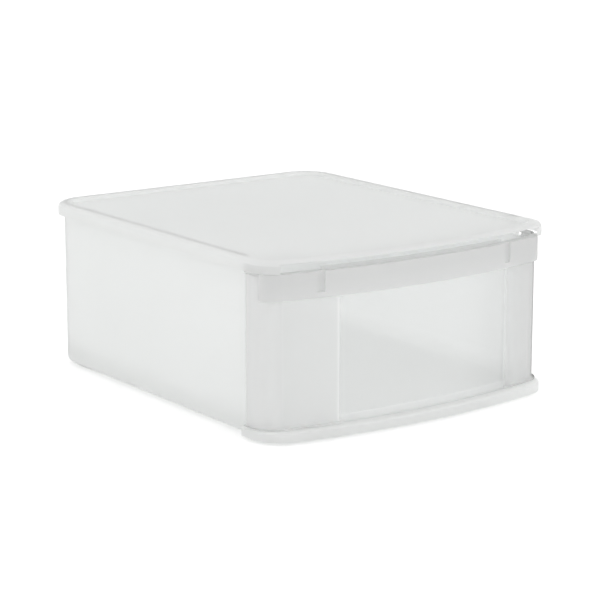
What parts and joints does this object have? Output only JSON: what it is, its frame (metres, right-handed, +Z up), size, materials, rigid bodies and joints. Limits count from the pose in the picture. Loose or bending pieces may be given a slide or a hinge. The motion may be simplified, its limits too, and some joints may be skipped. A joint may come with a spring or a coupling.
{
  "type": "stackable drawer box",
  "caption": "Stackable milky plastic drawer box with a bowed clear drawer front, frosted grip rail, ribbed apron, stacking feet and a lift-off lid with a raised rim.",
  "frame": {"origin": "centre of the footprint, on the surface the feet stand on", "axes": "+X to the box's right side, -Y towards the drawer's front, +Z up"},
  "size_m": [0.33, 0.404, 0.165],
  "materials": {
    "milky_plastic": "milky translucent polypropylene, satin",
    "tub_plastic": "faintly milky, half-clear polypropylene",
    "clear_plastic": "clear, glossy",
    "frosted_plastic": "frosted, translucent"
  },
  "bodies": {
    "case": {"case": "milky_plastic"},
    "lid": {"lid": "milky_plastic"},
    "drawer": {"drawer_tub": "tub_plastic", "front_panel": "clear_plastic", "grip_rail": "frosted_plastic"}
  },
  "joints": [
    {"name": "drawer_slide", "type": "slide", "parent": "case", "child": "drawer", "axis": [0, -1, 0], "range_m": [0, 0.28]},
    {"name": "lid_lift", "type": "slide", "parent": "case", "child": "lid", "axis": [0, 0, 1], "range_m": [0, 0.12]}
  ]
}
